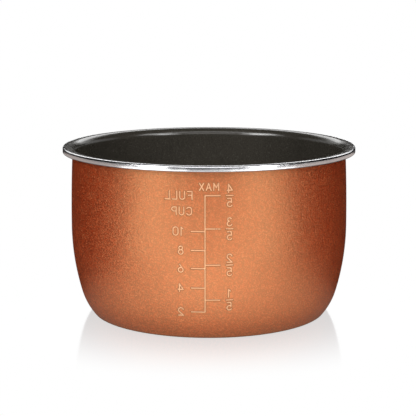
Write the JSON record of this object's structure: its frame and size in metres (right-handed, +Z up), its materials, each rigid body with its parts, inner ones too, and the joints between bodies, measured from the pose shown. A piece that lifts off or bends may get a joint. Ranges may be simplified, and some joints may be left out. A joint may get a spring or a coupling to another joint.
{
  "type": "rice cooker inner pot",
  "caption": "Removable inner cooking pot of a rice cooker: pressed aluminium bowl with turned-down rim, copper-coloured coat, dark non-stick lining and stamped level scale.",
  "frame": {"origin": "centre of the base, on the plane that the pot stands on", "axes": "+Z up along the pot's axis of revolution, -Y towards the stamped level scale, +X to the right when looking at the scale from outside"},
  "size_m": [0.24, 0.24, 0.1377],
  "materials": {
    "turned_aluminium": "satin",
    "nonstick_coating": "satin",
    "copper_coating": "satin"
  },
  "bodies": {
    "root": {"aluminium_shell": "turned_aluminium", "nonstick_lining": "nonstick_coating", "copper_coat": "copper_coating"}
  },
  "joints": []
}
